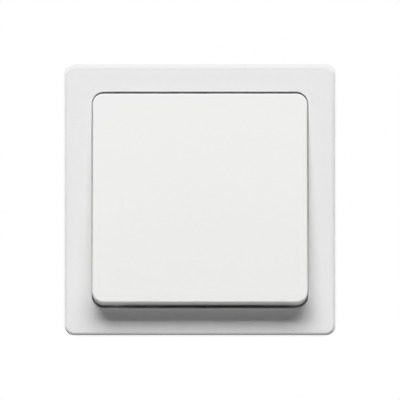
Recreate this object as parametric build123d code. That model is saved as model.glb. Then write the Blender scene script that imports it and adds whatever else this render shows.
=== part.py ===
"""Two-way rocker wall switch for a round 60 mm wall box: cover frame, rocker and switch insert.

All sizes are millimetres. The origin is the switch's centre on the wall surface. +X is to the
right, +Y goes into the wall and +Z is up. Moving pieces are built square to the wall and then
turned to the rest position, in which the rocker's upper half is pressed in.
"""

import os
from math import radians, tan

from build123d import *

# ---- Driving sizes ----
FRAME_SIZE = 80.5  # cover frame, outside
OPENING_SIZE = 63.8  # window in the cover frame
ROCKER_SIZE = (63.52, 62.6)  # width and height at its rear rim; the height has room to tilt
BOX_SCREW_PITCH = 60.0  # screws of a standard wall box
RING_SIZE = 71.0  # steel support ring
INSERT_SIZE = 42.0  # housing, across its flats
INSERT_DEPTH = 22.5  # housing, behind the wall surface
ROCKER_TILT = 4.1  # either side of square
SEESAW_TILT = 9.4  # contact seesaw, either side of square
CLAW_SWING = 22.0  # outward turn of a spreader claw
LEVER_TRAVEL = 2.0  # release lever stroke
SLIDE_GAP = 0.1  # air between pieces that slide past each other
SEAT_GAP = 0.05  # air between pieces that sit together

# ---- Cover frame ----
FRAME_DEPTH = 8.5
FRAME_CORNER = 3.2
FRAME_DRAFT = 1.5
FRAME_EDGE = 1.1
FRAME_WALL = 1.8
FRAME_FACE = 2.0
OPENING_CORNER = 3.6
OPENING_EDGE = 0.2
COLLAR_WALL = 1.4
COLLAR_BACK = -4.2
FRAME_RIBS_AT = (10.0, 29.0)
FRAME_RIB_THICK = 1.0
FRAME_RIB_BACK = COLLAR_BACK - 0.6

# ---- Rocker and the cradle that carries it ----
PIVOT_Y = -3.6
ROCKER_FRONT = -11.4
ROCKER_BACK = -3.8
ROCKER_CORNER = 3.3
ROCKER_TAPER = (0.12, 0.9)  # how much narrower and lower it is in front
ROCKER_EDGE = 0.6
ROCKER_FACE = 2.0
ROCKER_WALL = 1.5
ROCKER_RIB = (1.0, 1.1)  # thickness, height
ROCKER_RIBS_AT = (-22.0, -7.0, 7.0, 22.0)
CRADLE_WIDTH = 31.0
CRADLE_HEIGHT = 38.0
CRADLE_FRONT = -8.2
CRADLE_FLOOR = 1.8
CRADLE_WALL = 1.6
CRADLE_BACK = -5.0
CRADLE_CORNER = 2.0
CRADLE_WEB = 1.2
ARM_X = (9.4, 11.3)
ARM_HALF_HEIGHT = 2.4
TRUNNION_RADIUS = 1.6
TRUNNION_END = 13.4
TUBE_RADIUS = 3.4
TUBE_BORE = 2.2
TUBE_BACK = 5.0
CLIP_AT = (11.8, 12.0)  # the rocker's four clips
CLIP_SIZE = (3.0, 1.4)
CLIP_HOOK = 0.5
CLIP_NOSE = 1.2  # how far a clip reaches behind the cradle's floor

# ---- Plunger and snap spring ----
PLUNGER_RADIUS = TUBE_BORE - SEAT_GAP
PLUNGER_BORE = 1.65
PLUNGER_FRONT = -0.6
NOSE_RADIUS = 1.6
NOSE_Y = 6.2
NOSE_NECK = 1.0  # length of the thinner neck before the round nose
PLUNGER_BORE_END = NOSE_Y - 2.0
SPRING_WIRE = 0.36
SPRING_FRONT = -6.2
SPRING_TURNS = 9

# ---- Contact seesaw and fixed contacts ----
SEESAW_FRONT = NOSE_Y + NOSE_RADIUS + SEAT_GAP
SEESAW_PIVOT = SEESAW_FRONT + 1.75
SEESAW_HALF_WIDTH = 2.4
SEESAW_HALF_LENGTH = 10.9
STRIP = 0.8  # copper strip
RIDGE_RADIUS = 0.8
BOSS_HALF = (2.2, 2.8)  # the seesaw's thick middle, at its crest and at its foot
TIP_AT = 9.2
TIP_RADIUS = 1.5
TIP_HEIGHT = 0.7
TIP_AIR = 0.04
TIP_RIM = 0.12  # chamfer on a contact button
PAD_HALF = 2.0  # contact pad behind a fixed button
BAR_PLANE = (12.7, 13.5)
RISER_X = (4.0, 4.8)
RISER_Y = (10.5, 13.5)

# ---- Terminals: one in each of three quarters of the housing ----
CHAMBER_X = (5.2, 14.9)
CHAMBER_Z = (9.4, 17.8)
CHAMBER_DEPTH = 18.3
WIRE_AT_X = (7.7, 12.4)
WIRE_AT_Z = 15.1
WIRE_HOLE_RADIUS = 1.5
WIRE_FUNNEL = 0.6
CAGE_DEPTH = (7.4, 17.6)
CAGE_INNER_LENGTH = 5.6
CAGE_AIR = 0.2  # between a wire hole or chamber wall and the cage
CLAMP_SPRING_WIDTH = 4.2
CLAMP_SPRING_STRIP = 0.35
CLAMP_LOOP_AT = (15.0, 11.65)
CLAMP_LOOP_RADIUS = 1.0
CLAMP_LEG_ANGLE = 40.0
LEVER_X = (6.1, 14.0)
LEVER_Z = (10.4, 12.9)
LEVER_NOSE = (16.6, 12.1)  # how deep the nose reaches, and where it starts
LEVER_PROUD = 2.4
LEVER_SHOULDER = 0.45
LEVER_EDGE = 0.4
LEVER_GRIP = (1.8, 0.5)  # cross groove for a screwdriver: width, depth

# ---- Housing ----
FLANGE_DEPTH = 3.0
HOUSING_CORNER = 2.5
HOUSING_CHAMFER = 7.6
HOUSING_EDGE = 0.8
CHANNEL_WALL = 0.2
RELIEF = 0.35  # depth of the shallow marks in the housing's skin
DATA_PANEL = (15.0, 9.0)  # blank panel in the rear face
SIDE_PANEL = (18.0, 12.0)  # blank panels on top and underneath: width, depth
PROBE_SIDE = 1.7  # square test opening beside each lever
PROBE_DEPTH = 1.5
PROBE_AT_Z = 8.4
STRIP_GAUGE = (4.0, 15.0)  # where the stripping gauge starts and ends, along X
GAUGE_LINE = (1.8, 4.0, 0.6)  # its height along the line and at the end marks, and their width
COVER_FRONT = -2.6
COVER_SIZE = 41.0
COVER_EDGE = 0.4
COVER_WINDOW_HEIGHT = 17.0
RING_WINDOW = 32.0
BEARING_X = (11.5, 13.7)
BEARING_HALF_HEIGHT = 2.7

# ---- Support ring and rivets ----
RING_THICK = 1.0
RING_CORNER = 6.0
RING_EDGE = 0.15
SLOT_RADIUS = 1.8
SLOT_LENGTH = 6.4
CORNER_HOLE_AT = 27.5
CORNER_HOLE_RADIUS = 1.6
BEAD_SIZE = (11.0, 2.2)
BEAD_AT = (11.5, 25.6)
BEAD_RISE = 0.4
BEAD_SLOPE = 30.0
LUG_HALF_GAP = 20.0
LUG_WIDTH = 5.0
LUG_FRONT = -6.2
LUG_THICK = 0.8
LUG_RELIEF = 0.8
LUG_EDGE = 0.4
RIVET_AT = 18.5
RIVET_RADIUS = 1.1
RIVET_BORE = 0.55
RIVET_HEAD = (2.0, 0.7)  # radius, height
RIVET_TAIL = (1.65, 0.6)

# ---- Spreader claws ----
CLAW_SCREW_X = 23.6
CLAW_PIVOT = (19.6, 5.6)  # x, y
CLAW_SHEET = 1.2
CLAW_HALF_HEIGHT = 5.9
CLAW_FORK_GAP = 3.4
CLAW_LEG_X = (26.3, 27.3)
CLAW_BACK = 21.0
CLAW_TOOTH = 28.8
CLAW_BEAD = 1.1
CLAW_BEND = 0.9
CLAW_SLOT_HALF = 2.3
CLAW_LEG_START = 3.0  # where the leg splits in two, behind the sheet
CLAW_PIN_RADIUS = 0.9
CLAW_PIN_REACH = 1.5
POCKET_FLOOR = 17.6
POCKET_HALF_HEIGHT = 7.4
SCREW_RADIUS = 1.5
SCREW_TIP = 14.0
SCREW_HEAD = (2.6, 1.7)
SCREW_PLAY = 0.2
SCREW_RECESS = (3.0, 0.6, 1.1)  # cross: length, width, depth
NUT_SIZE = 5.0
NUT_THICK = 1.8
RETURN_SPRING_WIRE = 0.4
RETURN_SPRING_RADIUS = 2.15
RETURN_SPRING_TURNS = 4


# ---- Building blocks ----
def block(x, y, z):
    """A box from three (low, high) ranges."""
    size = [high - low for low, high in (x, y, z)]
    centre = [(high + low) / 2 for low, high in (x, y, z)]
    return Pos(*centre) * Box(*size)


def facing(y, at=(0, 0)):
    """A sketch plane parallel to the wall that looks into the room."""
    return Plane(origin=(at[0], y, at[1]), x_dir=(1, 0, 0), z_dir=(0, -1, 0))


def slab(width, height, y, corner=0.0, at=(0, 0), draft=0.0):
    """A plate parallel to the wall over the range y, widest at its rear if it has a draft."""
    front, back = y
    outline = RectangleRounded(width, height, corner) if corner else Rectangle(width, height)
    return extrude(facing(back, at) * outline, back - front, taper=draft)


def rod(radius, y, at=(0, 0)):
    """A round rod along Y over the range y."""
    front, back = y
    return extrude(facing(back, at) * Circle(radius), back - front)


def pin_along_x(radius, x, y, z):
    low, high = x
    return Pos((low + high) / 2, y, z) * Rot(0, 90, 0) * Cylinder(radius, high - low)


def pin_along_z(radius, z, x, y):
    low, high = z
    return Pos(x, y, (low + high) / 2) * Cylinder(radius, high - low)


def side_plane(x):
    """A sketch plane whose own axes are the model's Y and Z."""
    return Plane(origin=(x, 0, 0), x_dir=(0, 1, 0), z_dir=(1, 0, 0))


def prism_along_x(points, x):
    """A prism over the range x from an outline of (y, z) points."""
    low, high = x
    return extrude(side_plane(low) * make_face(Polyline(*points, close=True)), high - low)


def spread(x):
    """The range from -x to x."""
    return (-x, x)


def in_x(shape):
    return mirror(shape, about=Plane.YZ)


def in_z(shape):
    return mirror(shape, about=Plane.XY)


def in_four_quarters(shape):
    pair = [shape, in_x(shape)]
    return pair + [in_z(piece) for piece in pair]


def turned(shape, angle, y):
    """The shape turned about the line along X at this y, at the wall plate's mid height."""
    return Pos(0, y, 0) * Rot(angle, 0, 0) * Pos(0, -y, 0) * shape


def rocker_at_rest(shape):
    return turned(shape, -ROCKER_TILT, PIVOT_Y)


def front_edges(shape, y):
    """The edges that lie in the plane at this y."""
    return [e for e in shape.edges() if max(abs(v.Y - y) for v in e.vertices()) < 1e-3]


def coil(radius, wire, y, turns, at=(0, 0)):
    """A compression spring along Y with its wire inside the range y."""
    front, back = y
    height = back - front - wire
    path = Helix(pitch=height / turns, height=height, radius=radius)
    section = Plane(origin=path @ 0, z_dir=path % 0) * Circle(wire / 2)
    return Pos(at[0], front + wire / 2, at[1]) * Rot(-90, 0, 0) * sweep(section, path=path)


# ---- Front trim ----
def cover_frame():
    body = slab(FRAME_SIZE, FRAME_SIZE, (-FRAME_DEPTH, 0), FRAME_CORNER, draft=FRAME_DRAFT)
    body = fillet(front_edges(body, -FRAME_DEPTH), FRAME_EDGE)
    inside = FRAME_SIZE - 2 * FRAME_WALL
    face_back = FRAME_FACE - FRAME_DEPTH
    body -= slab(inside, inside, (face_back, 0), FRAME_CORNER - FRAME_WALL / 2)
    collar = OPENING_SIZE + 2 * COLLAR_WALL
    body += slab(collar, collar, (face_back, COLLAR_BACK), OPENING_CORNER + COLLAR_WALL)
    rib_reach = (collar / 2 - SEAT_GAP, inside / 2 + SEAT_GAP)
    depth = (face_back, FRAME_RIB_BACK)
    for along in FRAME_RIBS_AT:
        for low, high in (rib_reach, (-rib_reach[1], -rib_reach[0])):
            for centre in (along, -along):
                span = (centre - FRAME_RIB_THICK / 2, centre + FRAME_RIB_THICK / 2)
                body += block((low, high), depth, span)
                body += block(span, depth, (low, high))
    body -= slab(OPENING_SIZE, OPENING_SIZE, (-FRAME_DEPTH, 0), OPENING_CORNER)
    reach = OPENING_SIZE / 2 + SLIDE_GAP
    rim = [e for e in front_edges(body, -FRAME_DEPTH) if abs(e.center().X) < reach]
    rim = [e for e in rim if abs(e.center().Z) < reach]
    return fillet(rim, OPENING_EDGE)


def rocker_clip():
    """One of the rocker's hooks, in the upper right quarter. It reaches through the cradle's floor."""
    x, z = CLIP_AT
    wide, thick = CLIP_SIZE
    floor_back = CRADLE_FRONT + CRADLE_FLOOR
    end = floor_back + CLIP_NOSE
    leg = block((x, x + wide), (ROCKER_FRONT + ROCKER_FACE, end), (z, z + thick))
    hook_depth = (floor_back + SEAT_GAP, end)
    hook = prism_along_x(
        [
            (hook_depth[0], z + thick),
            (hook_depth[0], z + thick + CLIP_HOOK),
            (hook_depth[1], z + thick),
        ],
        (x, x + wide),
    )
    return leg + hook


def rocker_block(inset, y):
    """The rocker's tapering outline, this far inside its surface, over the range y."""
    front, back = y
    share = (ROCKER_BACK - front) / (ROCKER_BACK - ROCKER_FRONT)
    rear = [size - 2 * inset for size in ROCKER_SIZE]
    fore = [size - taper * share for size, taper in zip(rear, ROCKER_TAPER)]
    corner = ROCKER_CORNER - inset
    outlines = [
        facing(back) * RectangleRounded(*rear, corner),
        facing(front) * RectangleRounded(*fore, corner),
    ]
    return loft(outlines, ruled=True)


def rocker():
    face_back = ROCKER_FRONT + ROCKER_FACE
    shell = rocker_block(0, (ROCKER_FRONT, ROCKER_BACK))
    shell = fillet(front_edges(shell, ROCKER_FRONT), ROCKER_EDGE)
    shell -= rocker_block(ROCKER_WALL, (face_back, ROCKER_BACK))
    thick, tall = ROCKER_RIB
    depth = (face_back - SEAT_GAP, face_back + tall)
    reach_x, reach_z = [spread(size / 2 - ROCKER_WALL) for size in ROCKER_SIZE]
    for at in ROCKER_RIBS_AT:
        shell += block(reach_x, depth, (at - thick / 2, at + thick / 2))
        shell += block((at - thick / 2, at + thick / 2), depth, reach_z)
    for clip in in_four_quarters(rocker_clip()):
        shell += clip
    return rocker_at_rest(shell)


# ---- Rocker drive ----
def actuator_cradle():
    floor = (CRADLE_FRONT, CRADLE_FRONT + CRADLE_FLOOR)
    body = slab(CRADLE_WIDTH, CRADLE_HEIGHT, (CRADLE_FRONT, CRADLE_BACK), CRADLE_CORNER)
    body -= slab(
        CRADLE_WIDTH - 2 * CRADLE_WALL,
        CRADLE_HEIGHT - 2 * CRADLE_WALL,
        (floor[1], CRADLE_BACK),
        CRADLE_CORNER / 2,
    )
    body += rod(TUBE_RADIUS, (floor[0], TUBE_BACK))
    arm = block(ARM_X, (floor[0], PIVOT_Y), spread(ARM_HALF_HEIGHT))
    arm += pin_along_x(ARM_HALF_HEIGHT, ARM_X, PIVOT_Y, 0)
    arm += pin_along_x(TRUNNION_RADIUS, (ARM_X[1] - SEAT_GAP, TRUNNION_END), PIVOT_Y, 0)
    web = block((0, ARM_X[0]), (floor[1] - SEAT_GAP, CRADLE_BACK), spread(CRADLE_WEB / 2))
    body += arm + in_x(arm) + web + in_x(web)
    x, z = CLIP_AT
    wide, thick = CLIP_SIZE
    window = block(
        (x - SLIDE_GAP, x + wide + SLIDE_GAP),
        (floor[0], CRADLE_BACK),
        (z - SLIDE_GAP, z + thick + CLIP_HOOK + SLIDE_GAP),
    )
    ledge = block(
        (x - SLIDE_GAP, x + wide + SLIDE_GAP),
        floor,
        (z + thick + SEAT_GAP, z + thick + CLIP_HOOK + SLIDE_GAP),
    )
    for cut in in_four_quarters(window - ledge):
        body -= cut
    body -= rod(TUBE_BORE, (SPRING_FRONT, TUBE_BACK))
    return rocker_at_rest(body)


def plunger():
    body = rod(PLUNGER_RADIUS, (PLUNGER_FRONT, NOSE_Y - 0.6 * NOSE_NECK))
    body += rod(NOSE_RADIUS, (NOSE_Y - NOSE_NECK, NOSE_Y))
    body += Pos(0, NOSE_Y, 0) * Sphere(NOSE_RADIUS)
    body -= rod(PLUNGER_BORE, (PLUNGER_FRONT, PLUNGER_BORE_END))
    return rocker_at_rest(body)


def snap_spring():
    span = (SPRING_FRONT + SEAT_GAP, PLUNGER_BORE_END - SEAT_GAP)
    radius = PLUNGER_BORE - SEAT_GAP - SPRING_WIRE / 2
    return rocker_at_rest(coil(radius, SPRING_WIRE, span, SPRING_TURNS))


# ---- Contacts ----
def contact_seesaw():
    """A copper rocker whose groove sits on the ridge of the common bar."""
    back = SEESAW_FRONT + STRIP
    crest, foot = BOSS_HALF
    outline = [
        (SEESAW_FRONT, -SEESAW_HALF_LENGTH),
        (SEESAW_FRONT, SEESAW_HALF_LENGTH),
        (back, SEESAW_HALF_LENGTH),
        (back, foot),
        (SEESAW_PIVOT, crest),
        (SEESAW_PIVOT, -crest),
        (back, -foot),
        (back, -SEESAW_HALF_LENGTH),
    ]
    body = prism_along_x(outline, spread(SEESAW_HALF_WIDTH))
    body -= pin_along_x(RIDGE_RADIUS + SEAT_GAP, spread(SEESAW_HALF_WIDTH), SEESAW_PIVOT, 0)
    return turned(body, SEESAW_TILT, SEESAW_PIVOT)


def domed_tip(front, back, z):
    """A silver contact rivet's button with a slightly rounded rim."""
    button = rod(TIP_RADIUS, (front, back), (0, z))
    return chamfer(button.edges(), TIP_RIM)


def moving_contact_tips():
    front = SEESAW_FRONT + STRIP
    tips = [domed_tip(front, front + TIP_HEIGHT, z) for z in (-TIP_AT, TIP_AT)]
    return [turned(tip, SEESAW_TILT, SEESAW_PIVOT) for tip in tips]


def fixed_tip_front():
    return SEESAW_FRONT + STRIP + TIP_HEIGHT + TIP_AIR


def fixed_contact_tips():
    """The buttons that the seesaw's own meet squarely, each at one end of its swing."""
    front = fixed_tip_front()
    lower = turned(domed_tip(front, front + TIP_HEIGHT, -TIP_AT), SEESAW_TILT, SEESAW_PIVOT)
    return [lower, in_z(lower)]


def contact_pad():
    """The lower fixed contact's coined pad: sloped in front, flat behind."""
    seat = fixed_tip_front() + TIP_HEIGHT
    width = spread(SEESAW_HALF_WIDTH)
    half = PAD_HALF + 0.3
    blank = block(width, (seat, seat + 5), (-TIP_AT - half, -TIP_AT + half))
    pad = turned(blank, SEESAW_TILT, SEESAW_PIVOT)
    return pad & block(width, (0, BAR_PLANE[1]), (-TIP_AT - PAD_HALF - 1, 0))


def clamp_cage():
    """A terminal's strip cage, in the upper right quarter: wires press on its outer limb."""
    x = (CHAMBER_X[0] + CAGE_AIR, CHAMBER_X[1] - CAGE_AIR)
    outer = (cage_outer_z() - STRIP, cage_outer_z())
    inner = (CHAMBER_Z[0] + SLIDE_GAP, CHAMBER_Z[0] + SLIDE_GAP + STRIP)
    front, back = CAGE_DEPTH
    cage = block(x, (front, back), outer)
    cage += block(x, (front, front + STRIP), (inner[0], outer[1]))
    return cage + block(x, (front, front + CAGE_INNER_LENGTH), inner)


def cage_outer_z():
    return WIRE_AT_Z + WIRE_HOLE_RADIUS + CAGE_AIR + STRIP


def contact_bar_2():
    """Upper right terminal, joined to the lower fixed contact by a riser beside the seesaw."""
    bottom, top = -TIP_AT - PAD_HALF, -TIP_AT + PAD_HALF
    bar = contact_pad() + block((0, RISER_X[1]), BAR_PLANE, (bottom, top))
    bar += block(RISER_X, RISER_Y, (bottom, cage_outer_z()))
    bar += block((RISER_X[0], CHAMBER_X[0] + 1), RISER_Y, (cage_outer_z() - STRIP, cage_outer_z()))
    return bar + clamp_cage()


def contact_bar_1():
    """Upper left terminal, joined to the upper fixed contact."""
    bottom, top = TIP_AT - PAD_HALF, TIP_AT + PAD_HALF
    bar = in_z(contact_pad()) + block((-RISER_X[1], 0), BAR_PLANE, (bottom, top))
    bar += block((-RISER_X[1], -RISER_X[0]), RISER_Y, (bottom, cage_outer_z()))
    link = (-CHAMBER_X[0] - 1, -RISER_X[0])
    bar += block(link, RISER_Y, (cage_outer_z() - STRIP, cage_outer_z()))
    return bar + in_x(clamp_cage())


def common_bar():
    """Lower left terminal, joined to the ridge that the seesaw rocks on."""
    half = SEESAW_HALF_WIDTH
    seat = (SEESAW_PIVOT + 1.0, SEESAW_PIVOT + 1.0 + STRIP)
    bar = pin_along_x(RIDGE_RADIUS, spread(SEESAW_HALF_WIDTH), SEESAW_PIVOT, 0)
    bar += block(spread(SEESAW_HALF_WIDTH), (SEESAW_PIVOT, seat[1]), spread(RIDGE_RADIUS))
    bar += block((-RISER_X[1], SEESAW_HALF_WIDTH), seat, spread(half))
    bar += block((-RISER_X[1], -RISER_X[0]), RISER_Y, (-cage_outer_z(), half))
    link = (-CHAMBER_X[0] - 1, -RISER_X[0])
    bar += block(link, RISER_Y, (-cage_outer_z(), STRIP - cage_outer_z()))
    return bar + in_x(in_z(clamp_cage()))


# ---- Screwless terminals, built in the upper right quarter ----
def clamp_springs():
    """Two bent strips. Each one's free leg bites on a wire and slopes the way the wire goes in."""
    y, z = CLAMP_LOOP_AT
    loop_start = (y, z - CLAMP_LOOP_RADIUS)
    base = Line((CAGE_DEPTH[0] + STRIP + 0.4, loop_start[1]), loop_start)
    loop = CenterArc((y, z), CLAMP_LOOP_RADIUS, -90, 180 - CLAMP_LEG_ANGLE)
    top = loop @ 1
    rise = WIRE_AT_Z + WIRE_HOLE_RADIUS - 0.15 - top.Y
    tip = (top.X - rise / tan(radians(CLAMP_LEG_ANGLE)), top.Y + rise)
    path = Wire([base, loop, Line(top, tip)])
    springs = []
    for x in WIRE_AT_X:
        plane = side_plane(x)
        start = plane * Plane(origin=base @ 0, x_dir=(0, 1, 0), z_dir=(1, 0, 0))
        section = start * Rectangle(CLAMP_SPRING_STRIP, CLAMP_SPRING_WIDTH)
        springs.append(sweep(section, path=plane * path, transition=Transition.ROUND))
    return springs


def release_lever():
    nose_y, nose_z = LEVER_NOSE
    shoulder_x = (LEVER_X[0] - LEVER_SHOULDER, LEVER_X[1] + LEVER_SHOULDER)
    face = INSERT_DEPTH + LEVER_PROUD
    body = block(LEVER_X, (CHAMBER_DEPTH - SEAT_GAP, face), LEVER_Z)
    body = chamfer(front_edges(body, face), LEVER_EDGE)
    wide, deep = LEVER_GRIP
    middle = sum(LEVER_X) / 2
    body -= block((middle - wide / 2, middle + wide / 2), (face - deep, face), LEVER_Z)
    body += block(shoulder_x, (nose_y, CHAMBER_DEPTH - SEAT_GAP), (nose_z, LEVER_Z[1]))
    return body


# ---- Housing ----
def terminal_cuts():
    """What one terminal takes out of the housing, in the upper right quarter."""
    cut = block(CHAMBER_X, (0, CHAMBER_DEPTH), CHAMBER_Z)
    window_x = (LEVER_X[0] - SLIDE_GAP, LEVER_X[1] + SLIDE_GAP)
    window_z = (LEVER_Z[0] - SLIDE_GAP, LEVER_Z[1] + SLIDE_GAP)
    cut += block(window_x, (CHAMBER_DEPTH, INSERT_DEPTH), window_z)
    for x in WIRE_AT_X:
        cut += rod(WIRE_HOLE_RADIUS, (CHAMBER_DEPTH, INSERT_DEPTH), (x, WIRE_AT_Z))
        mouth = Pos(x, INSERT_DEPTH - WIRE_FUNNEL / 2, WIRE_AT_Z) * Rot(-90, 0, 0)
        cut += mouth * Cone(WIRE_HOLE_RADIUS, WIRE_HOLE_RADIUS + WIRE_FUNNEL, WIRE_FUNNEL)
    return cut


def claw_pocket():
    """The right side's recess and the two bearing holes for a claw's pins."""
    outside = INSERT_SIZE / 2 + 1
    cut = block((POCKET_FLOOR, outside), (FLANGE_DEPTH, INSERT_DEPTH), spread(POCKET_HALF_HEIGHT))
    reach = POCKET_HALF_HEIGHT + CLAW_PIN_REACH + SEAT_GAP
    return cut + pin_along_z(CLAW_PIN_RADIUS + SEAT_GAP, spread(reach), *CLAW_PIVOT)


def riser_channels():
    """Slots for the risers of the three bars, beyond the seesaw's chamber."""
    x = (RISER_X[0] - CHANNEL_WALL, CHAMBER_X[0])
    z = (0, cage_outer_z() + CHANNEL_WALL)
    channel = block(x, (0, RISER_Y[1] + CHANNEL_WALL), z)
    return [channel, in_x(channel), in_x(in_z(channel))]


def skin_marks():
    """Shallow moulded recesses: blank panels, test openings and the stripping gauge."""
    skin = (INSERT_DEPTH - RELIEF, INSERT_DEPTH)
    marks = [slab(*DATA_PANEL, skin, 0.6)]
    wide, deep = SIDE_PANEL
    middle = (FLANGE_DEPTH + INSERT_DEPTH) / 2
    depth = (middle - deep / 2, middle + deep / 2)
    top = block(spread(wide / 2), depth, (INSERT_SIZE / 2 - RELIEF, INSERT_SIZE / 2))
    marks += [top, in_z(top)]
    probe_at = (sum(LEVER_X) / 2, PROBE_AT_Z)
    probe = slab(PROBE_SIDE, PROBE_SIDE, (INSERT_DEPTH - PROBE_DEPTH, INSERT_DEPTH), at=probe_at)
    marks += [probe, in_x(probe), in_x(in_z(probe))]
    line, mark, thin = GAUGE_LINE
    gauge = block(STRIP_GAUGE, skin, (-WIRE_AT_Z - line / 2, -WIRE_AT_Z + line / 2))
    for x in STRIP_GAUGE:
        height = (-WIRE_AT_Z - mark / 2, -WIRE_AT_Z + mark / 2)
        gauge += block((x - thin / 2, x + thin / 2), skin, height)
    return marks + [gauge]


def housing_base():
    body = slab(INSERT_SIZE, INSERT_SIZE, (0, INSERT_DEPTH))
    corners = body.edges().filter_by(Axis.Y)
    body = chamfer(corners, HOUSING_CHAMFER)
    body = chamfer(front_edges(body, INSERT_DEPTH), HOUSING_EDGE)
    body += slab(INSERT_SIZE, INSERT_SIZE, (0, FLANGE_DEPTH), HOUSING_CORNER)
    chamber = (0, BAR_PLANE[1] + CHANNEL_WALL)
    body -= block(spread(CHAMBER_X[0] - CHANNEL_WALL), chamber, spread(TIP_AT + 3.0))
    quarter = terminal_cuts()
    for cut in (quarter, in_x(quarter), in_x(in_z(quarter)), *riser_channels()):
        body -= cut
    pocket = claw_pocket()
    for cut in (pocket, in_x(pocket), *skin_marks()):
        body -= cut
    for x in (-RIVET_AT, RIVET_AT):
        for z in (-RIVET_AT, RIVET_AT):
            body -= rod(RIVET_RADIUS + SEAT_GAP, (0, FLANGE_DEPTH), (x, z))
    return body


def housing_cover():
    body = slab(COVER_SIZE, COVER_SIZE, (COVER_FRONT, -RING_THICK), HOUSING_CORNER)
    body = chamfer(front_edges(body, COVER_FRONT), COVER_EDGE)
    lip = RING_WINDOW - 2 * SLIDE_GAP
    body += slab(lip, lip, (-RING_THICK, 0), 1.5)
    bearing = block(BEARING_X, (PIVOT_Y, COVER_FRONT), spread(BEARING_HALF_HEIGHT))
    bearing += pin_along_x(BEARING_HALF_HEIGHT, BEARING_X, PIVOT_Y, 0)
    body += bearing + in_x(bearing)
    body -= slab(2 * BEARING_X[0], COVER_WINDOW_HEIGHT, (COVER_FRONT, 0), 1.0)
    body -= pin_along_x(TRUNNION_RADIUS + SEAT_GAP, spread(BEARING_X[1]), PIVOT_Y, 0)
    for x in (-RIVET_AT, RIVET_AT):
        for z in (-RIVET_AT, RIVET_AT):
            body -= rod(RIVET_RADIUS + SEAT_GAP, (COVER_FRONT, 0), (x, z))
    return body


# ---- Support ring and rivets ----
def frame_lug():
    """A bent tongue in the upper right that grips the cover frame's collar."""
    inner = OPENING_SIZE / 2 + COLLAR_WALL + SEAT_GAP
    x = (inner, inner + LUG_THICK)
    z = (LUG_HALF_GAP, LUG_HALF_GAP + LUG_WIDTH)
    tongue = block(x, (LUG_FRONT, -RING_THICK + SEAT_GAP), z)
    tip = [e for e in front_edges(tongue, LUG_FRONT) if abs(e.center().X - x[0]) < SEAT_GAP]
    return chamfer(tip, LUG_EDGE)


def lug_relief():
    """The notch beside a tongue, where the sheet was cut free to be bent."""
    start = OPENING_SIZE / 2 + COLLAR_WALL + SEAT_GAP + LUG_THICK
    z = (LUG_HALF_GAP - LUG_RELIEF, LUG_HALF_GAP + LUG_WIDTH + LUG_RELIEF)
    return block((start, RING_SIZE), (-RING_THICK, 0), z)


def stiffening_beads():
    """Pressed beads: each is a rounded rise in front and the matching groove behind."""
    pairs = []
    length, width = BEAD_SIZE
    along, across = BEAD_AT
    for x, z, turn in ((along, across, 0), (across, along, 90)):
        for at in ((x, z), (-x, z), (x, -z), (-x, -z)):
            plane = facing(-RING_THICK, at) * Rot(0, 0, turn)
            rise = extrude(plane * SlotOverall(length, width), BEAD_RISE, taper=BEAD_SLOPE)
            plane = facing(0, at) * Rot(0, 0, turn)
            groove = extrude(plane * SlotOverall(length - 0.5, width - 0.5), BEAD_RISE, taper=BEAD_SLOPE)
            pairs.append((rise, groove))
    return pairs


def support_ring():
    sheet = (-RING_THICK, 0)
    ring = slab(RING_SIZE, RING_SIZE, sheet, RING_CORNER)
    ring -= slab(RING_WINDOW, RING_WINDOW, sheet, 1.6)
    ring = chamfer(front_edges(ring, -RING_THICK), RING_EDGE)
    for cut in in_four_quarters(lug_relief()):
        ring -= cut
    slot = SlotOverall(SLOT_LENGTH, 2 * SLOT_RADIUS)
    reach = BOX_SCREW_PITCH / 2
    for x, z, turn in ((reach, 0, 0), (-reach, 0, 0), (0, reach, 90), (0, -reach, 90)):
        ring -= extrude(facing(0, (x, z)) * Rot(0, 0, turn) * slot, RING_THICK)
    for front, back in stiffening_beads():
        ring += front
        ring -= back
    for x in (-1, 1):
        ring -= rod(SCREW_RADIUS + SCREW_PLAY, sheet, (x * CLAW_SCREW_X, 0))
        for z in (-1, 1):
            ring -= rod(CORNER_HOLE_RADIUS, sheet, (x * CORNER_HOLE_AT, z * CORNER_HOLE_AT))
            ring -= rod(RIVET_RADIUS + SLIDE_GAP, sheet, (x * RIVET_AT, z * RIVET_AT))
    for lug in in_four_quarters(frame_lug()):
        ring += lug
    return ring


def housing_rivet(at):
    head_radius, head_height = RIVET_HEAD
    tail_radius, tail_height = RIVET_TAIL
    head = rod(head_radius, (COVER_FRONT - head_height, COVER_FRONT), at)
    head = fillet(front_edges(head, COVER_FRONT - head_height), 0.5)
    tail = rod(tail_radius, (FLANGE_DEPTH, FLANGE_DEPTH + tail_height), at)
    tail = fillet(front_edges(tail, FLANGE_DEPTH + tail_height), 0.45)
    rivet = head + tail + rod(RIVET_RADIUS, (COVER_FRONT, FLANGE_DEPTH), at)
    return rivet - rod(RIVET_BORE, (0, FLANGE_DEPTH + tail_height), at)


def housing_rivets():
    ends = (-RIVET_AT, RIVET_AT)
    return [housing_rivet((x, z)) for x in ends for z in ends]


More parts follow.
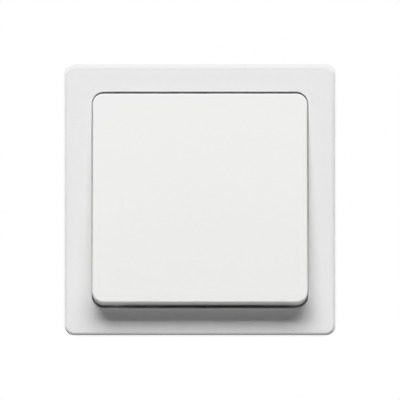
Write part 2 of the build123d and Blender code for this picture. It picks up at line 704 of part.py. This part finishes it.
# ---- Spreader claws, built on the right side ----
def claw():
    pivot_x, pivot_y = CLAW_PIVOT
    sheet = (pivot_y - CLAW_SHEET / 2, pivot_y + CLAW_SHEET / 2)
    tall = spread(CLAW_HALF_HEIGHT)
    body = block((pivot_x - 1.0, CLAW_LEG_X[1]), sheet, tall)
    body += block(CLAW_LEG_X, (sheet[0], CLAW_BACK), tall)
    bend = [e for e in body.edges().filter_by(Axis.Z) if abs(e.center().Y - sheet[0]) < 1e-3]
    body = fillet([e for e in bend if e.center().X > CLAW_SCREW_X], CLAW_BEND)
    split = (sheet[1] + CLAW_LEG_START, CLAW_BACK)
    body -= block((CLAW_LEG_X[0] - SEAT_GAP, CLAW_LEG_X[1]), split, spread(CLAW_FORK_GAP))
    tooth = [
        (CLAW_LEG_X[0], CLAW_BACK),
        (CLAW_LEG_X[0], CLAW_BACK - 2.0),
        (CLAW_LEG_X[1], CLAW_BACK - 2.6),
        (CLAW_TOOTH, CLAW_BACK - 0.6),
    ]
    outline = make_face(Polyline(*tooth, close=True))
    wedge = extrude(outline, CLAW_HALF_HEIGHT - CLAW_FORK_GAP)
    body += Pos(0, 0, CLAW_FORK_GAP) * wedge
    body += Pos(0, 0, -CLAW_HALF_HEIGHT) * wedge
    bead = pin_along_z(CLAW_BEAD, tall, CLAW_SCREW_X, sheet[1])
    body += bead & block((0, RING_SIZE), (sheet[0] + 0.1, CLAW_BACK), tall)
    pin = pin_along_z(
        CLAW_PIN_RADIUS, spread(POCKET_HALF_HEIGHT + CLAW_PIN_REACH), pivot_x, pivot_y
    )
    body += pin
    slot_rise = SCREW_RADIUS + SCREW_PLAY
    screw_room = (CLAW_SCREW_X - CLAW_SLOT_HALF, CLAW_SCREW_X + CLAW_SLOT_HALF)
    return body - block(screw_room, (0, CLAW_BACK), spread(slot_rise))


def claw_screw():
    head_radius, head_height = SCREW_HEAD
    seat = -RING_THICK
    at = (CLAW_SCREW_X, 0)
    head = rod(head_radius, (seat - head_height, seat), at)
    head = fillet(front_edges(head, seat - head_height), 0.6)
    shank = rod(SCREW_RADIUS, (seat - 0.1, SCREW_TIP), at)
    shank = chamfer(front_edges(shank, SCREW_TIP), 0.5)
    length, width, depth = SCREW_RECESS
    sunk = (seat - head_height, seat - head_height + depth)
    x = CLAW_SCREW_X
    across = block((x - length / 2, x + length / 2), sunk, spread(width / 2))
    upright = block((x - width / 2, x + width / 2), sunk, spread(length / 2))
    return head + shank - across - upright


def nut_front():
    """The plane in which the nut rests on the claw's bead."""
    return CLAW_PIVOT[1] + CLAW_SHEET / 2 + CLAW_BEAD + TIP_AIR


def claw_nut():
    front = nut_front()
    at = (CLAW_SCREW_X, 0)
    body = slab(NUT_SIZE, NUT_SIZE, (front, front + NUT_THICK), at=at)
    body = chamfer(body.edges().filter_by(Axis.Y), 0.3)
    return body - rod(SCREW_RADIUS + SEAT_GAP, (front, front + NUT_THICK), at)


def claw_return_spring():
    span = (SEAT_GAP, CLAW_PIVOT[1] - CLAW_SHEET / 2 - SEAT_GAP)
    return coil(
        RETURN_SPRING_RADIUS, RETURN_SPRING_WIRE, span, RETURN_SPRING_TURNS, (CLAW_SCREW_X, 0)
    )


# ---- Writing ----
def write(name, shape):
    """One STEP file per node. A list becomes one node of separate solids."""
    whole = Compound(children=list(shape)) if isinstance(shape, list) else shape
    export_step(whole, os.path.join("parts", name + ".step"))


def main():
    os.makedirs("parts", exist_ok=True)
    write("cover_frame", cover_frame())
    write("rocker", rocker())
    write("actuator_cradle", actuator_cradle())
    write("plunger", plunger())
    write("snap_spring", snap_spring())
    write("contact_seesaw", contact_seesaw())
    write("moving_contact_tips", moving_contact_tips())
    write("fixed_contact_tips", fixed_contact_tips())
    write("common_bar", common_bar())
    write("contact_bar_1", contact_bar_1())
    write("contact_bar_2", contact_bar_2())
    write("housing_base", housing_base())
    write("housing_cover", housing_cover())
    write("support_ring", support_ring())
    write("housing_rivets", housing_rivets())

    springs, lever = clamp_springs(), release_lever()
    write("clamp_springs_2", springs)
    write("clamp_springs_1", [in_x(s) for s in springs])
    write("clamp_springs_common", [in_x(in_z(s)) for s in springs])
    write("release_lever_2", lever)
    write("release_lever_1", in_x(lever))
    write("release_lever_common", in_x(in_z(lever)))

    for make in (claw, claw_screw, claw_nut, claw_return_spring):
        right = make()
        write(make.__name__ + "_right", right)
        write(make.__name__ + "_left", in_x(right))


main()
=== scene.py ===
"""Looks of the rocker wall switch: materials, wire springs, threaded screws, studio and camera.

Everything is in metres in the frame of the CAD model: the wall is the plane y = 0, the room is
at negative y, z is up.
"""

from math import cos, pi, radians, sin, tan

import bmesh
import bpy
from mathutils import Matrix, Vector


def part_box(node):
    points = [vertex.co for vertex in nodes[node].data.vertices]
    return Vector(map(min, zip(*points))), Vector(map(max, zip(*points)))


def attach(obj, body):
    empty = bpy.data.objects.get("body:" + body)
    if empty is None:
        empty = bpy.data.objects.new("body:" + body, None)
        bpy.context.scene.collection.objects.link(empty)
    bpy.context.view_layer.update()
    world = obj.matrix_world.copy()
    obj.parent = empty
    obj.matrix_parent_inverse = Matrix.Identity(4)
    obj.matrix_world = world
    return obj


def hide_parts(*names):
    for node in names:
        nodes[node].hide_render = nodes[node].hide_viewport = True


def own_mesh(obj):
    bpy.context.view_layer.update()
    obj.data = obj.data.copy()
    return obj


MM = 0.001
SIDES = ("left", "right")
TERMINALS = ("1", "2", "common")

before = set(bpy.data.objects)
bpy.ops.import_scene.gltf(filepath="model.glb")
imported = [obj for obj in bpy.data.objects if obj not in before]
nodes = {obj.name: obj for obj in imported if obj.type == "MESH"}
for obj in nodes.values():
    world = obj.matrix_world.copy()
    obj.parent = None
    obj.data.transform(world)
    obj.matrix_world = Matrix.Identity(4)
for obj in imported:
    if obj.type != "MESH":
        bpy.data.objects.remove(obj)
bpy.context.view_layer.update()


def in_scene(name, data):
    """A new object of this mesh, light or camera, linked into the scene."""
    thing = bpy.data.objects.new(name, data)
    bpy.context.scene.collection.objects.link(thing)
    return thing


# ---- Node helpers ----
BEVEL_SAMPLES = 4
CREVICE_SAMPLES = 8
NOISE_SPAN = (0.3, 0.7)  # the part of a noise's values that is put to use
EDGE_SPAN = (0.995, 0.9)  # true against rounded normal: where an edge begins, where it is sharp
CREVICE_SPAN = (0.75, 0.3)  # open surroundings: where a crevice begins, where it is deep


class Surface:
    """A Principled material that is built up node by node, in the model's own coordinates."""

    def __init__(self, name, color, roughness, metallic=0.0):
        self.material = bpy.data.materials.new(name)
        self.material.use_nodes = True
        self.tree = self.material.node_tree
        self.shader = self.tree.nodes["Principled BSDF"]
        self.position = self.add("ShaderNodeTexCoord").outputs["Object"]
        self.shader.inputs["Metallic"].default_value = metallic
        self.color = self.value_color(color)
        self.roughness = self.value(roughness)
        self.normal = None

    def add(self, kind, **settings):
        node = self.tree.nodes.new(kind)
        for key, setting in settings.items():
            setattr(node, key, setting)
        return node

    def link(self, source, target):
        self.tree.links.new(source, target)

    def value(self, number):
        node = self.add("ShaderNodeValue")
        node.outputs[0].default_value = number
        return node.outputs[0]

    def value_color(self, color):
        node = self.add("ShaderNodeRGB")
        node.outputs[0].default_value = (*color, 1.0)
        return node.outputs[0]

    def stretched(self, stretch):
        """The position scaled along each axis, to draw a grain out."""
        node = self.add("ShaderNodeMapping")
        node.inputs["Scale"].default_value = stretch
        self.link(self.position, node.inputs["Vector"])
        return node.outputs["Vector"]

    def noise(self, size, detail, stretch=(1, 1, 1)):
        """Cloudy noise whose blobs are about this size in metres; its values are near 0.5."""
        node = self.add("ShaderNodeTexNoise")
        node.inputs["Scale"].default_value = 1.0 / size
        node.inputs["Detail"].default_value = detail
        self.link(self.stretched(stretch), node.inputs["Vector"])
        return node.outputs["Fac"]

    def remap(self, source, span, start, end):
        """Turns values over the span into values from start to end, and no farther."""
        node = self.add("ShaderNodeMapRange")
        self.link(source, node.inputs["Value"])
        for name, limit in zip(("From Min", "From Max", "To Min", "To Max"), (*span, start, end)):
            node.inputs[name].default_value = limit
        return node.outputs["Result"]

    def patches(self, source, span, most):
        """A mask of a noise: none where it is under the span, the most where it is over it."""
        return self.remap(source, span, 0.0, most)

    def edge_mask(self, radius, most):
        """A mask along sharp edges: how far the rounded normal leaves the true one."""
        rounded = self.add("ShaderNodeBevel", samples=BEVEL_SAMPLES)
        rounded.inputs["Radius"].default_value = radius
        true = self.add("ShaderNodeNewGeometry").outputs["Normal"]
        dot = self.add("ShaderNodeVectorMath", operation="DOT_PRODUCT")
        self.link(rounded.outputs["Normal"], dot.inputs[0])
        self.link(true, dot.inputs[1])
        return self.remap(dot.outputs["Value"], EDGE_SPAN, 0.0, most)

    def crevice_shade_mask(self, distance, most):
        """A mask for painted shade: in corners, and in gaps narrower than the distance."""
        node = self.add("ShaderNodeAmbientOcclusion", samples=CREVICE_SAMPLES)
        node.inputs["Distance"].default_value = distance
        return self.remap(node.outputs["AO"], CREVICE_SPAN, 0.0, most)

    def tint(self, mask, color):
        """Blends the colour towards another where the mask is high."""
        node = self.add("ShaderNodeMix", data_type="RGBA")
        self.link(mask, node.inputs["Factor"])
        self.link(self.color, node.inputs["A"])
        node.inputs["B"].default_value = (*color, 1.0)
        self.color = node.outputs["Result"]

    def vary_roughness(self, source, amount):
        """Moves the roughness by up to half the amount either way."""
        node = self.add("ShaderNodeMath", operation="ADD")
        self.link(self.roughness, node.inputs[0])
        self.link(self.remap(source, NOISE_SPAN, -amount / 2, amount / 2), node.inputs[1])
        self.roughness = node.outputs[0]

    def soften_edges(self, radius):
        """Rounds the shading of sharp edges over this radius. It comes before any bump."""
        node = self.add("ShaderNodeBevel", samples=BEVEL_SAMPLES)
        node.inputs["Radius"].default_value = radius
        self.normal = node.outputs["Normal"]

    def bump(self, height, depth):
        """Raises the surface by the height, times this depth in metres."""
        node = self.add("ShaderNodeBump")
        node.inputs["Distance"].default_value = depth
        self.link(height, node.inputs["Height"])
        if self.normal is not None:
            self.link(self.normal, node.inputs["Normal"])
        self.normal = node.outputs["Normal"]

    def finish(self):
        """The material, with all that was built up linked to its shader. Call it after a bump."""
        self.link(self.color, self.shader.inputs["Base Color"])
        self.link(self.roughness, self.shader.inputs["Roughness"])
        self.link(self.normal, self.shader.inputs["Normal"])
        return self.material


# ---- Materials ----
# Dust-grey colour of the painted shade in deep gaps of the white plastic.
GAP_SHADE_GREY = (0.6, 0.59, 0.56)
BARE_STEEL = (0.78, 0.79, 0.80)
WARM_TONE = (1.08, 1.03, 0.90)  # of the zinc's passivation, as shares of its colour
COOL_TONE = (0.84, 0.90, 0.98)


def scaled(color, shares):
    return [part * share for part, share in zip(color, shares)]


def gloss_white_plastic(name, color):
    """Moulded white: satin skin as fine as eggshell, the faintest flow clouds, dust-grey painted shade in
    deep gaps.
    """
    surface = Surface(name, color, 0.32)
    surface.shader.inputs["Specular IOR Level"].default_value = 0.45
    clouds = surface.noise(35 * MM, 0)
    surface.tint(surface.patches(clouds, NOISE_SPAN, 0.3), scaled(color, (0.99, 0.99, 0.99)))
    # Painted shade: greys corners and narrow gaps where the occlusion mask finds them.
    surface.tint(surface.crevice_shade_mask(0.6 * MM, 0.25), GAP_SHADE_GREY)
    surface.vary_roughness(surface.noise(14 * MM, 1), 0.03)
    surface.soften_edges(0.06 * MM)
    surface.bump(surface.noise(0.5 * MM, 2), 0.0012 * MM)
    surface.bump(surface.noise(0.12 * MM, 2), 0.0006 * MM)
    return surface.finish()


def matte_plastic(name, color, pale):
    """Fine-eroded technical plastic: grainy skin, faint flow marks, scuffed paler edges, painted shade in
    corners.
    """
    surface = Surface(name, color, 0.52)
    surface.tint(surface.patches(surface.noise(9 * MM, 2), NOISE_SPAN, 0.18), pale)
    surface.tint(surface.patches(surface.noise(0.25 * MM, 2), (0.55, 0.75), 0.15), pale)
    surface.tint(surface.edge_mask(0.2 * MM, 0.4), pale)
    # Painted shade: a darker copy of the colour in corners and narrow gaps.
    surface.tint(surface.crevice_shade_mask(0.8 * MM, 0.35), scaled(color, (0.6, 0.6, 0.6)))
    surface.vary_roughness(surface.noise(2 * MM, 3), 0.12)
    surface.soften_edges(0.08 * MM)
    surface.bump(surface.noise(0.15 * MM, 2), 0.014 * MM)
    return surface.finish()


def zinc_plate(name, color):
    """Zinc on pressed steel: rolling grain, cloudy passivation, bare bright edges."""
    surface = Surface(name, color, 0.38, metallic=1.0)
    clouds = surface.noise(6 * MM, 3)
    surface.tint(surface.patches(clouds, (0.4, 0.7), 0.5), scaled(color, WARM_TONE))
    surface.tint(surface.patches(surface.noise(3 * MM, 4), (0.5, 0.75), 0.45), scaled(color, COOL_TONE))
    surface.tint(surface.edge_mask(0.15 * MM, 0.7), BARE_STEEL)
    surface.vary_roughness(clouds, 0.10)
    surface.vary_roughness(surface.noise(0.6 * MM, 3, (1, 1, 0.08)), 0.08)
    surface.soften_edges(0.08 * MM)
    surface.bump(surface.noise(0.25 * MM, 2, (1, 1, 0.05)), 0.0025 * MM)
    return surface.finish()


def bright_metal(name, color, roughness, stain):
    """Stamped strip, drawn wire or a turned button: fine drawing lines and a slight tarnish."""
    surface = Surface(name, color, roughness, metallic=1.0)
    surface.tint(surface.patches(surface.noise(6 * MM, 2), (0.35, 0.75), 0.3), stain)
    surface.vary_roughness(surface.noise(3 * MM, 2), 0.06)
    surface.bump(surface.noise(0.2 * MM, 3, (0.1, 1, 1)), 0.003 * MM)
    return surface.finish()


def paint(names, material):
    for name in names:
        piece = nodes[name]
        piece.data.materials.clear()
        piece.data.materials.append(material)
        piece.data.polygons.foreach_set("material_index", [0] * len(piece.data.polygons))


def each(stems, ends):
    """Every stem with every end, as in claw_left and claw_right."""
    return [f"{stem}_{end}" for stem in stems for end in ends]


frame_white = gloss_white_plastic("frame_white", (0.86, 0.86, 0.857))
rocker_white = gloss_white_plastic("rocker_white", (0.86, 0.86, 0.846))
housing_grey = matte_plastic("housing_grey", (0.30, 0.31, 0.32), pale=(0.42, 0.43, 0.44))
pale_grey = matte_plastic("sliding_plastic", (0.62, 0.63, 0.62), pale=(0.74, 0.74, 0.73))
lever_orange = matte_plastic("lever_orange", (0.66, 0.17, 0.035), pale=(0.80, 0.34, 0.14))
# A darker copy of the zinc for the support ring: painted shade, so that the ring seen through the gaps
# round the rocker stays dark.
shade_darkened_zinc = zinc_plate("shade_darkened_zinc", (0.44, 0.45, 0.46))
bright_zinc = zinc_plate("bright_zinc", (0.60, 0.61, 0.63))
spring_steel = bright_metal("spring_steel", (0.56, 0.56, 0.57), 0.25, stain=(0.40, 0.37, 0.34))
copper = bright_metal("copper_strip", (0.80, 0.42, 0.26), 0.30, stain=(0.52, 0.26, 0.16))
silver = bright_metal("contact_silver", (0.86, 0.85, 0.82), 0.22, stain=(0.62, 0.56, 0.46))

paint(["cover_frame"], frame_white)
paint(["rocker"], rocker_white)
paint(["housing_base", "housing_cover"], housing_grey)
paint(["actuator_cradle", "plunger"], pale_grey)
paint(each(["release_lever"], TERMINALS), lever_orange)
paint(["support_ring"], shade_darkened_zinc)
paint(["housing_rivets", *each(["claw", "claw_nut", "claw_screw"], SIDES)], bright_zinc)
paint(each(["clamp_springs"], TERMINALS), spring_steel)
paint(["snap_spring", *each(["claw_return_spring"], SIDES)], spring_steel)
paint(["contact_seesaw", "common_bar", "contact_bar_1", "contact_bar_2"], copper)
paint(["moving_contact_tips", "fixed_contact_tips"], silver)


def springy(node, body):
    """A copy of a CAD spring, carried by the body. It stands for the node."""
    piece = in_scene(node + "_wire", nodes[node].data.copy())
    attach(piece, body)
    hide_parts(node)
    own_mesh(piece)


def spring_behind_plunger():
    """The snap spring behind the plunger, carried by the rocker; its copy keeps the CAD shape through the
    plunger's stroke.
    """
    springy("snap_spring", "rocker")


def springs_over_claws():
    """The claws' return springs, carried by the insert; their copies keep the CAD shape as the claw's
    sheet swings towards the ring.
    """
    for side in SIDES:
        node = "claw_return_spring_" + side
        springy(node, "insert")


def springs_in_terminals():
    """The terminals' clamp springs, carried by the insert; their copies keep the CAD shape when a lever's
    nose pushes the free legs.
    """
    for terminal in TERMINALS:
        node = "clamp_springs_" + terminal
        springy(node, "insert")


spring_behind_plunger()
springs_over_claws()
springs_in_terminals()


# ---- Threaded claw screws ----
RING_THICK = 1.0 * MM  # sheet of the support ring, which the heads sit on
SCREW_RADIUS = 1.5 * MM  # over the thread
THREAD_PITCH = 0.5 * MM
THREAD_DEPTH = 0.27 * MM
THREAD_FLAT = 0.15  # flats at root and crest, as a share of the way between them
POINT_LENGTH = 0.5 * MM
HEAD_ROUNDING = 0.6 * MM
HEAD_STEPS = 6  # rings of the mesh over the head's rounding
THREAD_STEPS = 8  # rings of the mesh along one turn of the thread
ROUND_STEPS = 40  # corners of the mesh around the screw
CREASE_DEGREES = 35

RECESS_DEPTH = 1.1 * MM
RECESS_LEAD = 0.2 * MM  # the cutter starts this far in front of the head
WING_LONG = 1.5 * MM  # half a wing's length
WING_THIN = 0.3 * MM  # half its thickness
WING_OUTSIDE = 1.05  # share of the length at the cutter's front end
WING_INSIDE = 0.62  # and at its inner end


def skin(mesh, rows):
    """Faces from each row of corners to the next, and a cap at either end."""
    for first, second in zip(rows, rows[1:]):
        for corner in range(len(first)):
            after = (corner + 1) % len(first)
            mesh.faces.new((first[corner], first[after], second[after], second[corner]))
    mesh.faces.new(list(reversed(rows[0])))
    mesh.faces.new(rows[-1])


def mesh_data(name, mesh):
    """The mesh as data for an object, with its faces turned outward."""
    bmesh.ops.recalc_face_normals(mesh, faces=mesh.faces)
    data = bpy.data.meshes.new(name)
    mesh.to_mesh(data)
    mesh.free()
    return data


def thread_height(turns):
    """A V thread with narrow flats, from 0 at the root to 1 at the crest, as the turns go by."""
    across = abs(2 * (turns % 1.0) - 1)
    return min(1.0, max(0.0, (across - THREAD_FLAT) / (1 - 2 * THREAD_FLAT)))


def head_rings(front, seat, head_radius):
    """(y, radius in each direction) of the screw's rounded head, down to its flat seat."""
    rings = []
    for step in range(HEAD_STEPS + 1):
        angle = pi / 2 * step / HEAD_STEPS
        y = front + HEAD_ROUNDING * (1 - cos(angle))
        rings.append((y, [head_radius - HEAD_ROUNDING * (1 - sin(angle))] * ROUND_STEPS))
    rings.append((seat, [head_radius] * ROUND_STEPS))
    return rings


def thread_rings(seat, tip):
    """(y, radius in each direction) of a right-hand thread that deepens first and ends in a point."""
    rings = []
    count = round((tip - seat) / THREAD_PITCH * THREAD_STEPS)
    for step in range(count + 1):
        y = seat + (tip - seat) * step / count
        crest = SCREW_RADIUS - max(0.0, y - (tip - POINT_LENGTH))
        fade = min(1.0, (y - seat) / THREAD_PITCH)
        ring = []
        for corner in range(ROUND_STEPS):
            turns = (y - seat) / THREAD_PITCH + corner / ROUND_STEPS
            ring.append(crest - THREAD_DEPTH * fade * (1 - thread_height(turns)))
        rings.append((y, ring))
    return rings


def turned_mesh(name, rings, x, z):
    """A closed mesh round a line along Y."""
    mesh = bmesh.new()
    rows = []
    for y, radii in rings:
        row = []
        for corner, radius in enumerate(radii):
            angle = 2 * pi * corner / len(radii)
            row.append(mesh.verts.new((x + radius * cos(angle), y, z + radius * sin(angle))))
        rows.append(row)
    skin(mesh, rows)
    return mesh_data(name, mesh)


def cross_cutter(x, z, front):
    """Two crossed wings that taper inwards, as on the tip of a cross-head driver."""
    mesh = bmesh.new()
    for upright in (False, True):
        rows = []
        for y, share in ((front - RECESS_LEAD, WING_OUTSIDE), (front + RECESS_DEPTH, WING_INSIDE)):
            long, thin = WING_LONG * share, WING_THIN * (share + 1) / 2
            half_x, half_z = (thin, long) if upright else (long, thin)
            corners = ((-half_x, -half_z), (half_x, -half_z), (half_x, half_z), (-half_x, half_z))
            rows.append([mesh.verts.new((x + dx, y, z + dz)) for dx, dz in corners])
        skin(mesh, rows)
    return mesh_data("cross_cutter", mesh)


def cut_away(piece, cutter):
    """Takes the cutter, whose own parts may cross, out of the piece and out of the scene."""
    recess = piece.modifiers.new("recess", "BOOLEAN")
    recess.object = cutter
    recess.solver = "EXACT"
    recess.use_self = True
    bpy.context.view_layer.update()
    cut = piece.evaluated_get(bpy.context.evaluated_depsgraph_get())
    data = bpy.data.meshes.new_from_object(cut)
    piece.modifiers.clear()
    piece.data = data
    bpy.data.objects.remove(cutter)


def claw_screw(side):
    """The claw's screw with a real thread and a cross recess. It stands for the plain CAD screw."""
    node = "claw_screw_" + side
    name = node + "_threaded"
    low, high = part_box(node)
    x, z = (low.x + high.x) / 2, (low.z + high.z) / 2
    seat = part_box("support_ring")[1].y - RING_THICK
    rings = head_rings(low.y, seat, (high.x - low.x) / 2) + thread_rings(seat, high.y)
    screw = in_scene(name, turned_mesh(name, rings, x, z))
    cut_away(screw, in_scene("cross_cutter", cross_cutter(x, z, low.y)))
    screw.data.materials.clear()
    screw.data.materials.append(bright_zinc)
    screw.data.shade_smooth()
    screw.data.set_sharp_from_angle(angle=radians(CREASE_DEGREES))
    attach(screw, node)
    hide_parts(node)


for side in SIDES:
    claw_screw(side)


# ---- Studio ----
WHITE = 1.7  # the brightness that the camera shows as pure white
STUDIO_REACH = 1.6  # distance of the softboxes, and from the floor's middle to its sides
KEY_SIZE = (0.96, 0.45)
KEY_RISE = 54  # degrees above the horizontal
SWITCH = (0, 0, 0)

BACK_LIGHT = 0.22
BACK_SPAN = (0.05, 0.6)  # how far a direction points behind the wall: light begins, light is full
FLOOR_HEIGHT = -0.30
FLOOR_ALBEDO = 0.02
FLOOR_ROUGHNESS = 0.9

# Grey cards behind the ring's slots: painted shade in place of the dark inside of a wall box.
CARD_ALBEDO = 0.35
CARD_START = 25.5 * MM  # from the switch's middle to a card's near end
CARD_MARGIN = 1.5 * MM  # from its far end to the ring's outline
CARD_HALF_WIDTH = 2.5 * MM
CARD_GAP = 0.3 * MM  # behind the ring


def area_light(name, position, target, size, power):
    """A softbox that the camera can't see, aimed at the target."""
    data = bpy.data.lights.new(name, "AREA")
    data.shape = "RECTANGLE"
    data.size, data.size_y = size
    data.energy = power
    light = in_scene(name, data)
    light.location = position
    aim = Vector(target) - Vector(position)
    light.rotation_euler = aim.to_track_quat("-Z", "Y").to_euler()
    light.visible_camera = False


def softbox(name, rise, aside, size, power):
    """A softbox in the room, raised by this many degrees. It faces a point this far beside the switch."""
    up = radians(rise)
    target = Vector((aside, 0, 0))
    area_light(name, target + Vector((0, -cos(up), sin(up))) * STUDIO_REACH, target, size, power)


def mixed(tree, share, first, second):
    """The first shader where the share is 0, the second where it is 1."""
    mix = tree.nodes.new("ShaderNodeMixShader")
    for source, socket in zip((share, first, second), mix.inputs):
        tree.links.new(source, socket)
    return mix.outputs[0]


def camera_share(tree):
    """1 for what the camera sees directly, 0 for all other light."""
    return tree.nodes.new("ShaderNodeLightPath").outputs["Is Camera Ray"]


def plain_background(tree):
    background = tree.nodes.new("ShaderNodeBackground")
    background.inputs["Color"].default_value = (1, 1, 1, 1)
    return background


def studio_world():
    """White to the camera. To the surfaces, dark in front and softly lit from behind the wall."""
    world = bpy.data.worlds.new("studio")
    bpy.context.scene.world = world
    world.use_nodes = True
    tree = world.node_tree
    tree.nodes.clear()
    direction = tree.nodes.new("ShaderNodeTexCoord")
    parts = tree.nodes.new("ShaderNodeSeparateXYZ")
    fade = tree.nodes.new("ShaderNodeMapRange")
    fade.inputs["From Min"].default_value, fade.inputs["From Max"].default_value = BACK_SPAN
    fade.inputs["To Max"].default_value = BACK_LIGHT
    light = plain_background(tree)
    backdrop = plain_background(tree)
    backdrop.inputs["Strength"].default_value = WHITE
    out = tree.nodes.new("ShaderNodeOutputWorld")
    tree.links.new(direction.outputs["Generated"], parts.inputs["Vector"])
    tree.links.new(parts.outputs["Y"], fade.inputs["Value"])
    tree.links.new(fade.outputs["Result"], light.inputs["Strength"])
    seen = mixed(tree, camera_share(tree), light.outputs[0], backdrop.outputs[0])
    tree.links.new(seen, out.inputs["Surface"])


def pale_floor():
    """A plain floor far below the switch: evenly white to the camera, nearly black to the lights."""
    reach = STUDIO_REACH
    mesh = bpy.data.meshes.new("floor")
    corners = [(-reach, -reach), (reach, -reach), (reach, reach), (-reach, reach)]
    mesh.from_pydata([(x, y, FLOOR_HEIGHT) for x, y in corners], [], [(0, 1, 2, 3)])
    floor = in_scene("floor", mesh)
    material = bpy.data.materials.new("floor")
    material.use_nodes = True
    tree = material.node_tree
    dull = tree.nodes["Principled BSDF"]
    dull.inputs["Base Color"].default_value = (FLOOR_ALBEDO, FLOOR_ALBEDO, FLOOR_ALBEDO, 1)
    dull.inputs["Roughness"].default_value = FLOOR_ROUGHNESS
    glow = tree.nodes.new("ShaderNodeEmission")
    glow.inputs["Strength"].default_value = WHITE
    seen = mixed(tree, camera_share(tree), dull.outputs[0], glow.outputs[0])
    tree.links.new(seen, tree.nodes["Material Output"].inputs["Surface"])
    mesh.materials.append(material)


def card_material():
    """Grey, as painted shade, but clear to a camera that looks at its rear side."""
    material = bpy.data.materials.new("painted_box_shade")
    material.use_nodes = True
    tree = material.node_tree
    tree.nodes.clear()
    card = tree.nodes.new("ShaderNodeBsdfDiffuse")
    card.inputs["Color"].default_value = (CARD_ALBEDO, CARD_ALBEDO, CARD_ALBEDO, 1)
    clear = tree.nodes.new("ShaderNodeBsdfTransparent")
    side = tree.nodes.new("ShaderNodeNewGeometry")
    hidden = tree.nodes.new("ShaderNodeMath")
    hidden.operation = "MULTIPLY"
    out = tree.nodes.new("ShaderNodeOutputMaterial")
    tree.links.new(camera_share(tree), hidden.inputs[0])
    tree.links.new(side.outputs["Backfacing"], hidden.inputs[1])
    seen = mixed(tree, hidden.outputs[0], card.outputs[0], clear.outputs[0])
    tree.links.new(seen, out.inputs["Surface"])
    return material


def painted_box_shade():
    """Four grey cards just behind the ring's slots: painted shade for the dark inside of a wall box, as
    seen from the room.

    A view from behind passes through them, so that the slots look open from there.
    """
    ring_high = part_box("support_ring")[1]
    near, far, half = CARD_START, ring_high.x - CARD_MARGIN, CARD_HALF_WIDTH
    corners, faces = [], []
    for turn in range(4):
        angle = turn * pi / 2
        for along, across in ((near, -half), (far, -half), (far, half), (near, half)):
            x = along * cos(angle) - across * sin(angle)
            z = along * sin(angle) + across * cos(angle)
            corners.append((x, ring_high.y + CARD_GAP, z))
        faces.append([4 * turn + corner for corner in range(4)])
    mesh = bpy.data.meshes.new("painted_box_shade")
    mesh.from_pydata(corners, [], faces)
    mesh.materials.append(card_material())
    in_scene("painted_box_shade", mesh)


softbox("key_left", rise=KEY_RISE, aside=-KEY_SIZE[0] / 2, size=KEY_SIZE, power=19.2)
softbox("key_right", rise=KEY_RISE, aside=KEY_SIZE[0] / 2, size=KEY_SIZE, power=11.6)
softbox("upper", rise=65.5, aside=0.0, size=(1.6, 0.2), power=18.0)
area_light("low_reflector", (0, -0.12, -0.28), (0, -0.12, 0), size=(1.2, 0.24), power=0.74)
area_light("rear_key", (-0.6, 1.5, 1.0), SWITCH, size=(0.9, 0.6), power=24.0)
area_light("rear_left", (-1.4, 0.8, 0.3), SWITCH, size=(0.7, 0.9), power=9.0)
area_light("rear_right", (1.4, 0.8, 0.4), SWITCH, size=(0.7, 0.9), power=14.0)
studio_world()
pale_floor()
painted_box_shade()


# ---- Camera ----
CAMERA_DISTANCE = 1.1
SHOWN_WIDTH = 118.0 * MM  # of the plane through the frame's front, across the picture
SHOULDER = ((0.86, 0.86), (1.0, 0.88), (1.3, 0.895), (1.6, 0.92))  # brightness, value shown
ALL_COLORS = 3  # the curve that acts on red, green and blue alike


def photo_camera():
    """Straight in front of the switch, far off with a long lens."""
    data = bpy.data.cameras.new("camera")
    camera = in_scene("camera", data)
    low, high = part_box("cover_frame")
    camera.location = ((low.x + high.x) / 2, low.y - CAMERA_DISTANCE, (low.z + high.z) / 2)
    camera.rotation_euler = (pi / 2, 0, 0)
    data.lens = data.sensor_width * CAMERA_DISTANCE / SHOWN_WIDTH
    data.clip_start, data.clip_end = 0.05, 10
    bpy.context.scene.camera = camera


def camera_response():
    """True up to bright plastic, then a soft shoulder, so that lit edges stay just under white."""
    view = bpy.context.scene.view_settings
    view.view_transform = "Standard"
    view.use_curve_mapping = True
    mapping = view.curve_mapping
    mapping.white_level = (WHITE, WHITE, WHITE)
    curve = mapping.curves[ALL_COLORS]
    for brightness, shown in SHOULDER:
        curve.points.new(brightness / WHITE, shown)
    for point in curve.points:
        point.handle_type = "VECTOR"
    mapping.update()


photo_camera()
camera_response()
